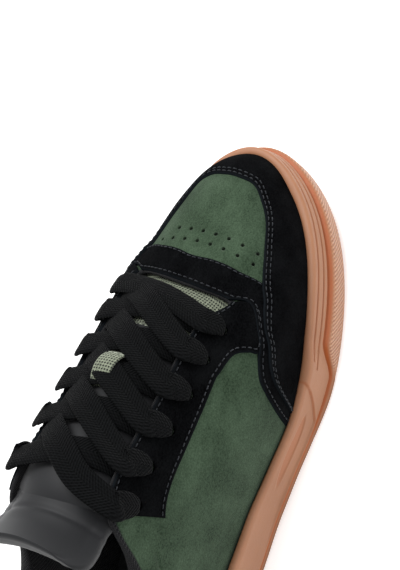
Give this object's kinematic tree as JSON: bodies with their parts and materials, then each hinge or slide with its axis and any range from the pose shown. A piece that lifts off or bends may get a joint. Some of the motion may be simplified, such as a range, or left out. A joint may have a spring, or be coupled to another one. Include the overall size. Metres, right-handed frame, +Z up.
{
  "type": "skateboarding shoe",
  "caption": "Right low-top skateboarding shoe: green and black suede upper on a gum rubber cupsole, mesh tongue, flat black laces.",
  "frame": {"origin": "centre of the sole's bottom on the ground, which is the bottom centre of the whole shoe's box", "axes": "+X to the toe, +Y to the inner side of the foot, +Z up"},
  "size_m": [0.3006, 0.0998, 0.1296],
  "materials": {
    "gum_rubber": "satin",
    "green_suede": "matte",
    "black_suede": "matte",
    "sage_mesh": "matte",
    "black_lace": "matte",
    "black_lining": "matte"
  },
  "bodies": {
    "root": {"cupsole": "gum_rubber", "upper": "green_suede", "eyestay": "black_suede", "toe_guard": "black_suede", "heel_counter": "black_suede", "tongue": "sage_mesh", "insole": "black_lining", "laces": "black_lace"}
  },
  "joints": []
}
